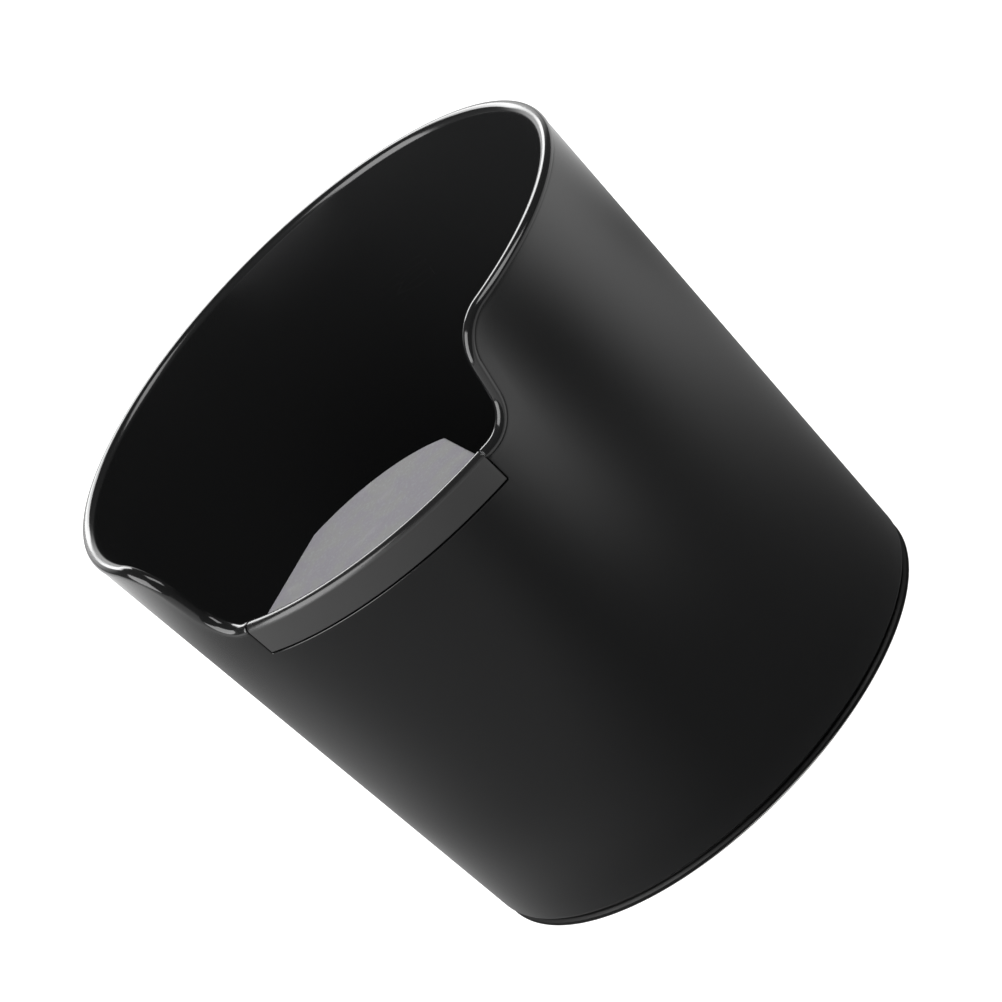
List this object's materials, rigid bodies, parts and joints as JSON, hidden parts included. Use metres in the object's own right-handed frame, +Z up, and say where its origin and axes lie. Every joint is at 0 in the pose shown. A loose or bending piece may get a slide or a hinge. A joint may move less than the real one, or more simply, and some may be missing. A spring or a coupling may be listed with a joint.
{
  "type": "espresso knock box",
  "caption": "Round tapered tub with a notched rim and a lift-off knock pad astride its wall, for knocking spent coffee out of a portafilter, on a non-slip base ring.",
  "frame": {"origin": "on the tub's axis, at the surface it stands on", "axes": "+Z up along the tub's axis; -Y towards the notch and the knock pad; +X to the right of someone who faces the notch"},
  "size_m": [0.1752, 0.1733, 0.165],
  "materials": {
    "tub_plastic": "smooth semi-gloss black, glossier along the rim",
    "foot_rubber": "matte black, finely ribbed lower edge",
    "pad_rubber": "satin black skirt and lip, fine matte grain on the tongue's top",
    "core_plastic": "matte black glass-filled nylon"
  },
  "bodies": {
    "tub": {"tub_shell": "tub_plastic", "base_ring": "foot_rubber"},
    "pad": {"knock_pad": "pad_rubber", "pad_core": "core_plastic"}
  },
  "joints": [
    {"name": "pad_lift", "type": "slide", "parent": "tub", "child": "pad", "axis": [0, 0, 1], "range_m": [0, 0.06]}
  ]
}
